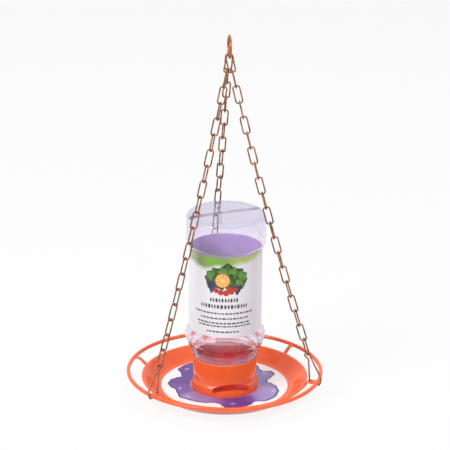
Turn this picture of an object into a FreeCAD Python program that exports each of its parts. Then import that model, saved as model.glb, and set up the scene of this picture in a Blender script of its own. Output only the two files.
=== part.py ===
import FreeCAD, Part
import math
import os

# Hanging oriole feeder: a bottle turned upside down in a ported collar, on a round tray with a perch ring,
# hung by three link chains from one ring. Millimetres, +Z up, origin at the centre of the tray's underside.
# Seen from the front (looking along +Y), azimuths are counted from +X towards +Y.

# Tray: shallow dish, six spokes and a round perch, moulded in one
floor_t = 2.4            # thickness of the dish floor
dish_wall = 1.8          # thickness of the sloping wall
dish_r = 97.5            # outside of the rim
wall_run = 14.6          # level reach of the sloping wall
dish_h = 15.9            # top of the rim above the underside
rim_w = 3.2              # width of the flat rim
rim_h = 2.8              # height of the rim's outer edge
perch_reach = 15.5       # from the rim to the centre line of the perch ring
perch_z = 21.4
perch_rod_r = 2.3
perch_segments = 48
perch_sides = 6
spoke_count = 6
spoke_t = 2.1            # thickness of every spoke
spoke_w = 4.4            # width of a plain spoke
web_root_w = 17.0        # width of a chain spoke at the rim
web_tip_w = 9.0          # and at the perch
web_knee = 5.0           # how far out of the rim a chain spoke turns level
clip_hole_at = 9.2       # clip hole, in from the perch's centre line
clip_hole_r = 2.1

# Printed card on the dish floor
card_t = 0.5
card_inner_play = 1.2    # round the collar's foot
card_outer_play = 5.3    # inside the dish wall

# Ported collar that the bottle screws into
collar_h = 40.8
collar_foot_w = 1.4      # how far the foot stands out past the waist
collar_foot_h = 9.6
collar_shoulder_h = 3.0  # height of the slope from the foot to the waist
collar_waist_r = 37.5
collar_wall = 1.8
collar_floor_t = 1.8
port_w = 43.0            # slanting ports, one over each plain spoke
port_h = 7.0             # across the slant
port_slope = 27.0        # degrees down towards the middle
port_sill_h = 8.4        # the sill's outer edge above the dish floor

# Bottle, mouth down
bottle_wall = 1.2
neck_gap = 0.6           # room for the thread between the neck and the collar
neck_len = 22.2
turn_gap = 0.3           # running gap of the bottle on the collar
seat_over = 0.6          # how far the shoulder's foot stands out past the collar
lobe_r = 46.7
shoulder_h = 26.5        # from the seat to the widest line of the lobe
lobe_h = 9.2             # from the widest line to the label panel
lobe_crown = 1.8         # half height of the crown round the widest line
body_r = 41.9
panel_h = 98.3
bevel_h = 5.0
head_r = 46.4
head_h = 35.2            # bottle end above the bevel
head_edge = 4.2          # slope of the closed end's edge
seam_half_w = 2.6        # pinch seam across the closed end
seam_depth = 1.5
seam_inset = 1.6         # flat left beyond each end of the seam
seam_turn = 24.0

# Printed sleeve on the bottle
label_t = 0.25
label_gap = 0.05
label_margin = 0.4       # bare panel left above and below it

# Chains
chain_names = ("right", "back", "left")
chain_azimuth = -17.5    # the right chain; the others follow at equal angles
link_count = 20
link_turn = 90.0         # each link is turned across the one before it
link_pitch = 18.05
link_w = 9.5
link_wire_r = 0.9
link_gap = 0.2           # play left between two linked wires
link_corner = 2.6
link_sides = 4
chain_sag = 3.7          # how far a chain hangs out of line at its middle
link_side_step = 3.6     # spacing of the three top links along the ring's wire

# Hanging ring
ring_r = 12.3
ring_wire_r = 1.4
ring_turn = 6.5          # turn of the ring about Z, from edge-on to the front
ring_gap = 0.65          # play between the ring and the top links
ring_segments = 24
ring_sides = 8

# Wire clips that join the chains to the tray
clip_wire_r = 0.9
clip_gap = 0.4           # play between the clip and the perch
clip_sides = 6
clip_neck_h = 27.0       # neck above the spoke
clip_neck_in = 2.0       # neck, in from the hole
eye_w = 6.6
eye_h = 7.2
clip_tail = 3.4

# Levels and places that follow from the sizes above
floor_z = floor_t
floor_r = dish_r - rim_w - wall_run
perch_r = dish_r + perch_reach
collar_foot_r = collar_waist_r + collar_foot_w
card_inner_r = collar_foot_r + card_inner_play
card_outer_r = floor_r - card_outer_play
seam_len = 2 * (head_r - head_edge - seam_inset)
collar_rim_z = floor_z + collar_h
foot_top_z = floor_z + collar_foot_h
shoulder_z = foot_top_z + collar_shoulder_h
neck_r = collar_waist_r - collar_wall - neck_gap
seat_r = collar_waist_r + seat_over
seat_z = collar_rim_z + turn_gap
mouth_z = seat_z - neck_len
lobe_z = seat_z + shoulder_h
panel_z = lobe_z + lobe_h
bevel_z = panel_z + panel_h
head_z = bevel_z + bevel_h
top_z = head_z + head_h
spoke_step = 360.0 / spoke_count
chain_step = 360.0 / len(chain_names)
hole_r = perch_r - clip_hole_at
knee_r = dish_r + web_knee
web_z = perch_z + spoke_t / 2
ring_seat = ring_wire_r + ring_gap + link_wire_r


def rounded_edges(corners, place, closed):
    """Lines and tangent arcs through corners (a, b, radius); place turns (a, b) into a point."""
    starts, arcs, ends = [], [], []
    last = len(corners) - 1
    for index, (a, b, radius) in enumerate(corners):
        at = FreeCAD.Vector(a, b, 0)
        if radius <= 0 or (not closed and index in (0, last)):
            starts.append(at)
            arcs.append(None)
            ends.append(at)
            continue
        before = FreeCAD.Vector(*corners[index - 1][:2], 0)
        after = FreeCAD.Vector(*corners[(index + 1) % len(corners)][:2], 0)
        back = (before - at).normalize()
        forth = (after - at).normalize()
        half = back.getAngle(forth) / 2
        middle = (back + forth).normalize()
        starts.append(at + back * (radius / math.tan(half)))
        arcs.append(at + middle * (radius / math.sin(half) - radius))
        ends.append(at + forth * (radius / math.tan(half)))
    edges = []
    for index in range(len(corners)):
        if arcs[index] is not None:
            edges.append(Part.Arc(place(starts[index]), place(arcs[index]), place(ends[index])).toShape())
        follower = (index + 1) % len(corners)
        if closed or index < last:
            if ends[index].distanceToPoint(starts[follower]) > 1e-6:
                edges.append(Part.LineSegment(place(ends[index]), place(starts[follower])).toShape())
    return edges


def on_section(point):
    """A point of a section given as (radius, height)."""
    return FreeCAD.Vector(point.x, 0, point.y)


def section_face(corners):
    return Part.Face(Part.Wire(rounded_edges(corners, on_section, True)))


def turned(outline):
    """The outline, given as (radius, height), swept round Z."""
    points = [FreeCAD.Vector(r, 0, z) for r, z in outline]
    face = Part.Face(Part.makePolygon(points + points[:1]))
    return face.revolve(FreeCAD.Vector(0, 0, 0), FreeCAD.Vector(0, 0, 1), 360)


def at_azimuth(shape, azimuth):
    copy = shape.copy()
    copy.rotate(FreeCAD.Vector(0, 0, 0), FreeCAD.Vector(0, 0, 1), azimuth)
    return copy


def radial(azimuth):
    return FreeCAD.Vector(math.cos(math.radians(azimuth)), math.sin(math.radians(azimuth)), 0)


def bent_wire(points, normal, radius, sides, closed):
    """A wire along a flat path, with mitred corners and a many-sided section as large as the round one."""
    count = len(points)
    reach = radius * math.sqrt(2 * math.pi / (sides * math.sin(2 * math.pi / sides)))
    steps = count if closed else count - 1
    across = []
    for index in range(steps):
        along = (points[(index + 1) % count] - points[index]).normalize()
        across.append(normal.cross(along).normalize())
    rings = []
    for index in range(count):
        if closed:
            one, two = across[index - 1], across[index]
        else:
            one, two = across[max(index - 1, 0)], across[min(index, steps - 1)]
        mitre = (one + two) * (1.0 / (1.0 + one.dot(two)))
        ring = []
        for side in range(sides):
            angle = 2 * math.pi * (side + 0.5) / sides
            ring.append(points[index] + normal * (reach * math.cos(angle)) + mitre * (reach * math.sin(angle)))
        rings.append(ring)
    faces = []
    for index in range(steps):
        here, there = rings[index], rings[(index + 1) % count]
        for side in range(sides):
            other = (side + 1) % sides
            corners = [here[side], there[side], there[other], here[other], here[side]]
            faces.append(Part.Face(Part.makePolygon(corners)))
    if not closed:
        for ring in (rings[0], rings[-1]):
            faces.append(Part.Face(Part.makePolygon(ring + ring[:1])))
    solid = Part.makeSolid(Part.makeShell(faces))
    if solid.Volume < 0:
        solid.reverse()
    return solid


def plain_spoke():
    """Gooseneck from the rim to the perch, in the X-Z plane."""
    low = dish_h - rim_h / 2
    root = dish_r - rim_w / 2
    reach = perch_r - dish_r
    side = [(root, low - spoke_t / 2, 0), (dish_r + 0.10 * reach, low - spoke_t / 2, 0.8),
            (dish_r + 0.62 * reach, perch_z - spoke_t / 2, 5.0), (perch_r, perch_z - spoke_t / 2, 0),
            (perch_r, perch_z + spoke_t / 2, 0), (dish_r + 0.50 * reach, perch_z + spoke_t / 2, 5.0 + spoke_t),
            (root, low + spoke_t / 2, 0)]
    bar = section_face(side).extrude(FreeCAD.Vector(0, spoke_w, 0))
    bar.translate(FreeCAD.Vector(0, -spoke_w / 2, 0))
    return bar


def chain_spoke():
    """Wide tapered web with the clip's hole, in the X-Z plane."""
    low = dish_h - rim_h / 2
    root = dish_r - rim_w / 2
    side = [(root, low - spoke_t / 2, 0), (dish_r, low - spoke_t / 2, 0), (knee_r + 0.6, web_z - spoke_t, 2.0),
            (perch_r, web_z - spoke_t, 0), (perch_r, web_z, 0), (knee_r, web_z, 2.0), (root, low + spoke_t / 2, 0)]
    web = section_face(side).extrude(FreeCAD.Vector(0, web_root_w, 0))
    web.translate(FreeCAD.Vector(0, -web_root_w / 2, 0))
    plan = [FreeCAD.Vector(root, web_root_w / 2, 0), FreeCAD.Vector(knee_r, web_tip_w / 2, 0),
            FreeCAD.Vector(perch_r, web_tip_w / 2, 0), FreeCAD.Vector(perch_r, -web_tip_w / 2, 0),
            FreeCAD.Vector(knee_r, -web_tip_w / 2, 0), FreeCAD.Vector(root, -web_root_w / 2, 0)]
    outline = Part.Face(Part.makePolygon(plan + plan[:1])).extrude(FreeCAD.Vector(0, 0, 2 * perch_z))
    hole = Part.makeCylinder(clip_hole_r, 2 * perch_z, FreeCAD.Vector(hole_r, 0, 0))
    return web.common(outline).cut(hole)


def make_tray():
    wall_in = dish_r - rim_w
    slant = math.hypot(wall_in - floor_r, dish_h - floor_z)
    step = dish_wall * slant / (dish_h - floor_z)
    under = floor_r + step - floor_t * (wall_in - floor_r) / (dish_h - floor_z)
    neck = under + (dish_h - rim_h) * (wall_in - floor_r) / (dish_h - floor_z)
    dish = turned([(0, 0), (under, 0), (neck, dish_h - rim_h), (dish_r, dish_h - rim_h), (dish_r, dish_h),
                   (wall_in, dish_h), (floor_r, floor_z), (0, floor_z)])
    circle = []
    for index in range(perch_segments):
        circle.append(radial(360.0 * index / perch_segments) * perch_r + FreeCAD.Vector(0, 0, perch_z))
    pieces = [bent_wire(circle, FreeCAD.Vector(0, 0, 1), perch_rod_r, perch_sides, True)]
    for index in range(spoke_count):
        azimuth = chain_azimuth + index * spoke_step
        carries_chain = index % (spoke_count // len(chain_names)) == 0
        pieces.append(at_azimuth(chain_spoke() if carries_chain else plain_spoke(), azimuth))
    return dish.fuse(pieces)


def make_card():
    """Thin printed annulus on the dish floor."""
    return turned([(card_inner_r, floor_z), (card_outer_r, floor_z),
                   (card_outer_r, floor_z + card_t), (card_inner_r, floor_z + card_t)])


def port_cut(azimuth):
    """Slanting slot whose lower face meets the foot's outside at the sill."""
    slot = Part.makeBox(collar_foot_r, port_w, port_h, FreeCAD.Vector(-collar_foot_r / 2, -port_w / 2, 0))
    slot.rotate(FreeCAD.Vector(0, 0, 0), FreeCAD.Vector(0, 1, 0), -port_slope)
    slot.translate(FreeCAD.Vector(collar_foot_r - 1.0, 0, floor_z + port_sill_h))
    return at_azimuth(slot, azimuth)


def make_collar():
    base = floor_z
    bore = collar_waist_r - collar_wall
    body = turned([(0, base), (collar_foot_r, base), (collar_foot_r, foot_top_z), (collar_waist_r, shoulder_z),
                   (collar_waist_r, collar_rim_z), (bore, collar_rim_z), (bore, base + collar_floor_t),
                   (0, base + collar_floor_t)])
    for index in range(len(chain_names)):
        middle = chain_azimuth - spoke_step + index * chain_step
        body = body.cut(port_cut(middle))
    return body


def bottle_outside():
    return turned([(0, mouth_z), (neck_r, mouth_z), (neck_r, seat_z), (seat_r, seat_z),
                   (lobe_r, lobe_z - lobe_crown), (lobe_r, lobe_z + lobe_crown), (body_r, panel_z),
                   (body_r, bevel_z), (head_r, head_z), (head_r, top_z - head_edge), (head_r - head_edge, top_z),
                   (0, top_z)])


def bottle_inside():
    """The hollow; the wall is thicker at the neck's root and round the head, as a blown wall is."""
    end_z = top_z - bottle_wall
    return turned([(0, mouth_z), (neck_r - bottle_wall, mouth_z), (neck_r - bottle_wall, seat_z),
                   (lobe_r - bottle_wall, lobe_z), (body_r - bottle_wall, panel_z),
                   (body_r - bottle_wall, bevel_z), (head_r - bottle_wall, head_z),
                   (head_r - bottle_wall, end_z - head_edge), (head_r - bottle_wall - head_edge, end_z), (0, end_z)])


def seam_cut(level, grown):
    """Bar of V section that presses the pinch seam into the closed end at this level."""
    half_l = seam_len / 2 + grown
    half_w = seam_half_w + grown
    wedge = [FreeCAD.Vector(-half_l, -half_w, level), FreeCAD.Vector(-half_l, half_w, level),
             FreeCAD.Vector(-half_l, 0, level - seam_depth * half_w / seam_half_w)]
    bar = Part.Face(Part.makePolygon(wedge + wedge[:1])).extrude(FreeCAD.Vector(2 * half_l, 0, 0))
    return at_azimuth(bar, seam_turn)


def make_bottle():
    outside = bottle_outside().cut(seam_cut(top_z, 0.0))
    inside = bottle_inside().cut(seam_cut(top_z - bottle_wall, bottle_wall))
    return outside.cut(inside)


def make_label():
    inner = body_r + label_gap
    low = panel_z + label_margin
    high = bevel_z - label_margin
    return turned([(inner, low), (inner + label_t, low), (inner + label_t, high), (inner, high)])


def eye_points():
    """The clip's path in its own radial plane, as (radius, height), and the point that the chain pulls on."""
    under = web_z - spoke_t - clip_wire_r - clip_gap
    neck_r_at = hole_r - clip_neck_in
    neck_z = web_z + clip_neck_h
    far = perch_rod_r + clip_wire_r + clip_gap
    crown_in = (neck_r_at - 0.55 * eye_w, neck_z + 0.90 * eye_h)
    crown_out = (neck_r_at + 0.20 * eye_w, neck_z + 1.10 * eye_h)
    path = [(hole_r + clip_tail, under), (hole_r, under), (neck_r_at, neck_z),
            (neck_r_at - 0.80 * eye_w, neck_z + 0.50 * eye_h), crown_in, crown_out,
            (neck_r_at + 0.40 * eye_w, neck_z + 0.28 * eye_h),
            (perch_r + far + 0.8, perch_z + 5.2), (perch_r + far, perch_z - 0.4),
            (perch_r + 0.62 * far, perch_z - 0.88 * far), (perch_r - 0.30 * far, perch_z - 1.02 * far)]
    pull = ((crown_in[0] + crown_out[0]) / 2, (crown_in[1] + crown_out[1]) / 2)
    return path, pull


def make_clip(azimuth):
    out = radial(azimuth)
    points = [out * r + FreeCAD.Vector(0, 0, z) for r, z in eye_points()[0]]
    normal = out.cross(FreeCAD.Vector(0, 0, 1))
    return bent_wire(points, normal, clip_wire_r, clip_sides, False)


def ring_tangent():
    """Direction of the ring's wire at its lowest point."""
    return radial(90.0 + ring_turn)


def top_offset(index):
    """How far along the ring's wire the top link of this chain hangs."""
    order = {"left": -1, "right": 0, "back": 1}[chain_names[index]]
    return order * link_side_step


def ring_centre():
    """Centre of the ring: over the tray where the three chains pull evenly, at the height that they reach."""
    pull_r, pull_z = eye_points()[1]
    shift = FreeCAD.Vector(0, 0, 0)
    spread = 0.0
    for index in range(len(chain_names)):
        out = radial(chain_azimuth + index * chain_step)
        share = (ring_tangent() * top_offset(index)).dot(out)
        shift = shift - out * (share * 2.0 / len(chain_names))
        spread += share / len(chain_names)
    length = link_count * link_pitch
    chord = length - 8.0 * chain_sag ** 2 / (3.0 * length)
    rise = math.sqrt((chord - ring_seat) ** 2 - (pull_r - spread) ** 2)
    return FreeCAD.Vector(shift.x, shift.y, pull_z + rise + ring_r)


def make_ring():
    centre = ring_centre()
    along = ring_tangent()
    points = []
    for index in range(ring_segments):
        angle = 2 * math.pi * (index + 0.5) / ring_segments
        points.append(centre + along * (ring_r * math.cos(angle)) + FreeCAD.Vector(0, 0, ring_r * math.sin(angle)))
    return bent_wire(points, along.cross(FreeCAD.Vector(0, 0, 1)), ring_wire_r, ring_sides, True)


def make_link(top, bottom, across):
    """One closed link; its upper wire crosses top, and the next link's upper wire crosses bottom."""
    up = (top - bottom).normalize()
    wide = (across - up * across.dot(up)).normalize()
    centre = (top + bottom) * 0.5 - up * (link_wire_r + link_gap / 2)
    half_l = (top - bottom).Length / 2 + link_wire_r + link_gap / 2
    half_w = link_w / 2 - link_wire_r
    path = [(half_w, half_l - link_corner), (half_w - link_corner, half_l)]
    path += [(-w, h) for w, h in reversed(path)]
    path += [(-w, -h) for w, h in path]
    points = [centre + wide * w + up * h for w, h in path]
    return bent_wire(points, up.cross(wide), link_wire_r, link_sides, True)


def make_chain(index):
    """Twenty links from the ring down to the clip's eye, with the slight sag that their weight gives."""
    azimuth = chain_azimuth + index * chain_step
    out = radial(azimuth)
    pull_r, pull_z = eye_points()[1]
    centre = ring_centre()
    end = out * pull_r + FreeCAD.Vector(0, 0, pull_z)
    beside = abs(top_offset(index)) + link_wire_r
    wire = centre + ring_tangent() * top_offset(index)
    wire.z = centre.z - math.sqrt(ring_r ** 2 - beside ** 2)
    start = wire + (wire - end).normalize() * ring_seat
    chord = end - start
    sideways = chord.cross(FreeCAD.Vector(0, 0, 1)).normalize()
    droop = sideways.cross(chord).normalize()
    if droop.z > 0:
        droop = droop * -1
    joints = []
    for step in range(link_count + 1):
        t = step / link_count
        joints.append(start + chord * t + droop * (4 * chain_sag * t * (1 - t)))
    twist_end = (azimuth + link_turn) % (2 * link_turn) - link_turn
    links = []
    for step in range(link_count):
        first_turn = ring_turn * (1 - step / (link_count - 1))
        turn = link_turn * step + first_turn + twist_end * step / (link_count - 1)
        links.append(make_link(joints[step], joints[step + 1], radial(turn)))
    return Part.makeCompound(links)


def make_all():
    shapes = {"tray": make_tray(), "tray_card": make_card(), "port_collar": make_collar(),
              "bottle": make_bottle(), "bottle_label": make_label(), "hanging_ring": make_ring()}
    for index, name in enumerate(chain_names):
        shapes["chain_" + name] = make_chain(index)
        shapes["clip_" + name] = make_clip(chain_azimuth + index * chain_step)
    return shapes


os.makedirs("parts", exist_ok=True)
for node, shape in make_all().items():
    shape.exportStep("parts/" + node + ".step")
    print(node, "solids", len(shape.Solids), "valid", shape.isValid(), "volume", round(shape.Volume, 1))
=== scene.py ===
import math
import random

import bmesh
import bpy
import numpy as np
from mathutils import Matrix, Vector


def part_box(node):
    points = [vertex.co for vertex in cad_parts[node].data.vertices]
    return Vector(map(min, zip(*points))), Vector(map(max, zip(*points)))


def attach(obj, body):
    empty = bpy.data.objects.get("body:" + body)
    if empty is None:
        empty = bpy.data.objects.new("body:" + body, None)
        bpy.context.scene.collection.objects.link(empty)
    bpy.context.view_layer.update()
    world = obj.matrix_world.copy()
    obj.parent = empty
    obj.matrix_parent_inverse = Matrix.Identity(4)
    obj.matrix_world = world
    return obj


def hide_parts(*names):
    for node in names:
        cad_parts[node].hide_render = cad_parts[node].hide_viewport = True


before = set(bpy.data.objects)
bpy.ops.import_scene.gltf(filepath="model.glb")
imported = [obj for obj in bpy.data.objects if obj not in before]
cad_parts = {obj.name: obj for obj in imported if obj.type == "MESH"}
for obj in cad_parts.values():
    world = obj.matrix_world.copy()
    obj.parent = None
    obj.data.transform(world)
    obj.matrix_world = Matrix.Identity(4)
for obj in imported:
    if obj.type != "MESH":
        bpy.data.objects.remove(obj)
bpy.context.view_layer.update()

# Hanging oriole feeder. Lengths are in millimetres, and in metres for the stage and the lamps.
# Angles are in degrees, and azimuths run from +X towards +Y.
MM = 0.001

# Tray
floor_t = 2.4
dish_wall = 1.8
dish_r = 97.5
wall_run = 14.6
dish_h = 15.9
rim_w = 3.2
rim_h = 2.8
perch_r = dish_r + 15.5
perch_z = 21.4
perch_rod_r = 2.3
spoke_t = 2.1
spoke_w = 4.4
web_root_w = 17.0
web_tip_w = 9.0
web_knee = 5.0
clip_hole_at = 9.2
clip_hole_r = 2.1
spoke_count = 6
spoke_flare_w = 2.0
spoke_flare_run = 5.0
drill_reach = 6.0
chain_azimuth = -17.5

# Card
card_t = 0.5
card_inner_r = 40.1
card_outer_play = 5.3
card_edge_r = 0.15

# Collar
collar_h = 40.8
collar_waist_r = 37.5
collar_foot_r = collar_waist_r + 2.0
collar_foot_h = 9.6
collar_shoulder_h = 3.0
collar_wall = 1.8
collar_floor_t = 1.8
port_w = 43.0
port_h = 7.0
port_slope = 27.0
port_sill_h = 8.4
port_side_h = 4.6
port_low_arch = 1.4
sill_slope = 2.2
port_count = 3
rim_drop = 1.0

# Bottle
bottle_wall = 1.2
neck_gap = 0.6
neck_len = 22.2
seat_over = 0.6
lobe_r = 46.7
shoulder_h = 26.5
lobe_h = 9.2
body_r = 41.9
panel_h = 98.3
bevel_h = 5.0
head_r = 46.4
head_h = 35.2
seam_half_w = 3.0
seam_end_w = 6.5
seam_depth = 0.7
seam_half_len = 40.6
seam_turn = 24.0
seam_fade = 4.0
seam_middle_run = 15.0
seam_inner_run = 20.0
seam_outer_run = 38.0
seam_shade_w = 2.0
seam_shade_end_w = 4.2
seam_reach = 0.9
cap_edge_r = 6.5
thread_pitch = 5.0
thread_h = 0.4
thread_low = 3.0
thread_high = 2.0
thread_fade = 1.5
grooves = (49.0, 55.0, 62.0, 70.6)
groove_depth = 0.35
groove_half_w = 0.9

# Sleeve
label_t = 0.25
label_gap = 0.05
label_margin = 0.4
ramp_half_w = 40.0
field_reach = 20.0
field_blur = 3.0
field_drift = 2.5
field_side_y = -4.0
field_front_y = -16.0
wrap_step = 1.5

# Chains, ring and clips
link_wire_r = 0.9
link_half_w = 3.85
link_corner = 3.0
link_seam_at = 0.6
link_seam_dip = 0.86
ring_r = 12.3
ring_wire_r = 1.4
ring_turn = 6.5
ring_steps = 96
ring_weld = 92
ring_weld_dip = 0.93
clip_wire_r = 0.9
clip_gap = 0.4
clip_neck_h = 27.0
clip_neck_in = 2.0
eye_w = 6.6
eye_h = 7.2
clip_tail = 3.4

# Levels
floor_r = dish_r - rim_w - wall_run
card_outer_r = floor_r - card_outer_play
card_top = floor_t + card_t
collar_rim_z = floor_t + collar_h - rim_drop
foot_top_z = floor_t + collar_foot_h
shoulder_z = foot_top_z + collar_shoulder_h
neck_r = collar_waist_r - collar_wall - neck_gap
seat_r = collar_waist_r + seat_over
seat_z = collar_rim_z + 0.3
mouth_z = seat_z + rim_drop - neck_len
lobe_z = seat_z + rim_drop + shoulder_h
panel_z = lobe_z + lobe_h
bevel_z = panel_z + panel_h
head_z = bevel_z + bevel_h
top_z = head_z + head_h
sleeve_r = body_r + label_gap + label_t
sleeve_low = panel_z + label_margin
sleeve_high = bevel_z - label_margin
hole_r = perch_r - clip_hole_at
web_z = perch_z + spoke_t / 2

# Sides of the round pieces
round_steps = 256
moulding_steps = 288
bottle_steps = 320

# Angles above which an edge is sharp
sharp_edge = 34.0
sharp_bottle_edge = 50.0
sharp_wire_edge = 60.0

# Camera fitted to the photograph
camera_lens = 164.93
camera_distance = 2365.0
camera_elevation = 19.6346
camera_roll = 0.6143
camera_target = (-1.356, 0.0, 202.0)


def linear(red, green, blue):
    """Linear colour of an sRGB one given as 0 to 255."""
    return tuple((c / 255 / 12.92 if c <= 10 else ((c / 255 + 0.055) / 1.055) ** 2.4)
                 for c in (red, green, blue)) + (1.0,)


def grey(share):
    return (share, share, share, 1.0)


# Materials

class Shader:
    """Small wrapper round a material's node tree."""

    def __init__(self, name):
        self.material = bpy.data.materials.new(name)
        self.material.use_nodes = True
        self.tree = self.material.node_tree
        self.bsdf = self.tree.nodes["Principled BSDF"]
        self.output = self.tree.nodes["Material Output"]
        self.place = self.add("ShaderNodeTexCoord").outputs["Object"]

    def add(self, kind, **settings):
        node = self.tree.nodes.new(kind)
        for key, value in settings.items():
            setattr(node, key, value)
        return node

    def link(self, source, target):
        self.tree.links.new(source, target)

    def noise(self, scale, detail=3.0, roughness=0.5, place=None):
        node = self.add("ShaderNodeTexNoise")
        node.inputs["Scale"].default_value = scale
        node.inputs["Detail"].default_value = detail
        node.inputs["Roughness"].default_value = roughness
        self.link(place or self.place, node.inputs["Vector"])
        return node.outputs["Fac"]

    def ramp(self, source, stops):
        node = self.add("ShaderNodeValToRGB")
        elements = node.color_ramp.elements
        while len(elements) < len(stops):
            elements.new(0.5)
        for element, (position, colour) in zip(elements, stops):
            element.position = position
            element.color = colour
        self.link(source, node.inputs["Fac"])
        return node.outputs["Color"]

    def between(self, source, low, high):
        node = self.add("ShaderNodeMapRange")
        node.inputs["From Min"].default_value = low[0]
        node.inputs["From Max"].default_value = high[0]
        node.inputs["To Min"].default_value = low[1]
        node.inputs["To Max"].default_value = high[1]
        self.link(source, node.inputs["Value"])
        return node.outputs["Result"]

    def math(self, operation, one, two=None):
        node = self.add("ShaderNodeMath", operation=operation)
        for socket, value in zip(node.inputs, (one, two)):
            if isinstance(value, (int, float)):
                socket.default_value = value
            elif value is not None:
                self.link(value, socket)
        return node.outputs["Value"]

    def along(self, direction):
        """Signed distance of the place along a direction, in metres."""
        node = self.add("ShaderNodeVectorMath", operation="DOT_PRODUCT")
        node.inputs[1].default_value = direction
        self.link(self.place, node.inputs[0])
        return node.outputs["Value"]

    def mix(self, factor, one, two, blend="MIX"):
        node = self.add("ShaderNodeMix", data_type="RGBA", blend_type=blend)
        for key, value in (("Factor", factor), ("A", one), ("B", two)):
            socket = node.inputs[key]
            if isinstance(value, (int, float, tuple)):
                socket.default_value = value
            else:
                self.link(value, socket)
        return node.outputs["Result"]

    def bump(self, height, strength, distance):
        node = self.add("ShaderNodeBump")
        node.inputs["Strength"].default_value = strength
        node.inputs["Distance"].default_value = distance
        self.link(height, node.inputs["Height"])
        self.link(node.outputs["Normal"], self.bsdf.inputs["Normal"])

    def set(self, **values):
        for key, value in values.items():
            socket = self.bsdf.inputs[key.replace("_", " ")]
            if isinstance(value, (int, float, tuple)):
                socket.default_value = value
            else:
                self.link(value, socket)
        return self


def orange_plastic(name, one, two):
    s = Shader(name)
    tone = s.ramp(s.noise(18.0, 2.0), [(0.3, linear(*one)), (0.7, linear(*two))])
    s.set(Base_Color=tone, Roughness=s.between(s.noise(60.0), (0.3, 0.07), (0.7, 0.13)), IOR=1.5)
    s.bump(s.noise(420.0, 2.0), 0.05, 0.0002)
    return s.material


def bore_painted_shade():
    """The collar's bore, painted a deep red as the shade inside the collar."""
    s = Shader("orange_plastic_bore_painted_shade")
    tone = s.ramp(s.noise(30.0, 3.0), [(0.3, linear(244, 46, 38)), (0.7, linear(251, 62, 46))])
    s.set(Base_Color=tone, Roughness=s.between(s.noise(60.0), (0.3, 0.25), (0.7, 0.35)))
    s.bump(s.noise(300.0, 2.0), 0.08, 0.0002)
    return s.material


def copper_wire(name, one, two):
    s = Shader(name)
    tone = s.ramp(s.noise(160.0, 3.0), [(0.35, linear(*one)), (0.65, linear(*two))])
    s.set(Base_Color=tone, Metallic=1.0, Roughness=s.between(s.noise(300.0), (0.3, 0.16), (0.7, 0.3)))
    s.bump(s.noise(900.0, 3.0), 0.15, 0.0002)
    return s.material


def clear_plastic():
    """Lilac-tinted clear plastic, with dark purple painted along the seam on the cap as its shade, and hazy
    bands by height, partly painted highlights.
    """
    s = Shader("clear_plastic")
    tone = s.ramp(s.noise(14.0, 2.0), [(0.35, (0.88, 0.855, 0.93, 1.0)), (0.65, (0.90, 0.875, 0.94, 1.0))])
    turn = math.radians(seam_turn)
    off = s.math("ABSOLUTE", s.along((-math.sin(turn), math.cos(turn), 0)))
    run = s.along((math.cos(turn), math.sin(turn), 0))
    wide = s.between(s.math("ABSOLUTE", run),
                     (seam_middle_run * MM, seam_shade_w * MM), (seam_outer_run * MM, seam_shade_end_w * MM))
    # Dark purple painted along the seam as shade, strongest at one end.
    painted_seam_shade = s.math("MULTIPLY", s.between(s.math("DIVIDE", off, wide), (0.5, 1.0), (1.3, 0.0)),
                   s.between(s.along((0, 0, 1)), ((top_z - 4.0) * MM, 0.0), ((top_z - 1.5) * MM, 1.0)))
    ends = s.math("MAXIMUM", s.between(run, (-seam_outer_run * MM, 1.0), (-seam_inner_run * MM, 0.2)),
                  s.between(run, (seam_inner_run * MM, 0.2), (seam_outer_run * MM, 0.6)))
    painted_seam_shade = s.math("MULTIPLY", painted_seam_shade, ends)
    cap = s.between(s.along((0, 0, 1)), ((top_z - 5.8) * MM, 0.0), ((top_z - 3.2) * MM, 1.0))
    tone = s.mix(cap, tone, (0.78, 0.76, 0.85, 1.0))
    tone = s.mix(painted_seam_shade, tone, (0.14, 0.04, 0.28, 1.0))
    # Whiteness by height through less transmission: partly the wall's own milkiness, partly painted
    # highlights, the whiter bands on the lobe and below the cap.
    hazy_and_highlight_bands = [(mouth_z, 0.01), (seat_z - 1.0, 0.02), (seat_z, 0.13), (52.0, 0.08), (54.0, 0.04),
            (55.5, 0.005), (61.5, 0.005), (62.8, 0.03), (69.0, 0.05), (70.2, 0.03), (71.6, 0.15),
            (74.6, 0.15), (76.6, 0.03), (bevel_z - 1.5, 0.03), (bevel_z + 0.5, 0.13),
            (head_z - 0.5, 0.10), (head_z + 2.0, 0.03), (top_z - 13.0, 0.03), (top_z - 11.5, 0.07),
            (top_z - 7.5, 0.03), (top_z, 0.03)]
    stops = [((z - mouth_z) / (top_z - mouth_z), grey(1.0 - share)) for z, share in hazy_and_highlight_bands]
    height = s.between(s.along((0, 0, 1)), (mouth_z * MM, 0.0), (top_z * MM, 1.0))
    clear_share = s.ramp(height, stops)
    s.set(Base_Color=tone, Transmission_Weight=clear_share, IOR=1.28, Roughness=0.02)
    s.bump(s.noise(26.0, 2.0), 0.12, 0.0012)
    clear = s.add("ShaderNodeBsdfTransparent")
    clear.inputs["Color"].default_value = (0.90, 0.87, 0.95, 1.0)
    blend = s.add("ShaderNodeMixShader")
    path = s.add("ShaderNodeLightPath")
    s.link(path.outputs["Is Shadow Ray"], blend.inputs["Fac"])
    s.link(s.bsdf.outputs["BSDF"], blend.inputs[1])
    s.link(clear.outputs["BSDF"], blend.inputs[2])
    s.link(blend.outputs["Shader"], s.output.inputs["Surface"])
    return s.material


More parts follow.
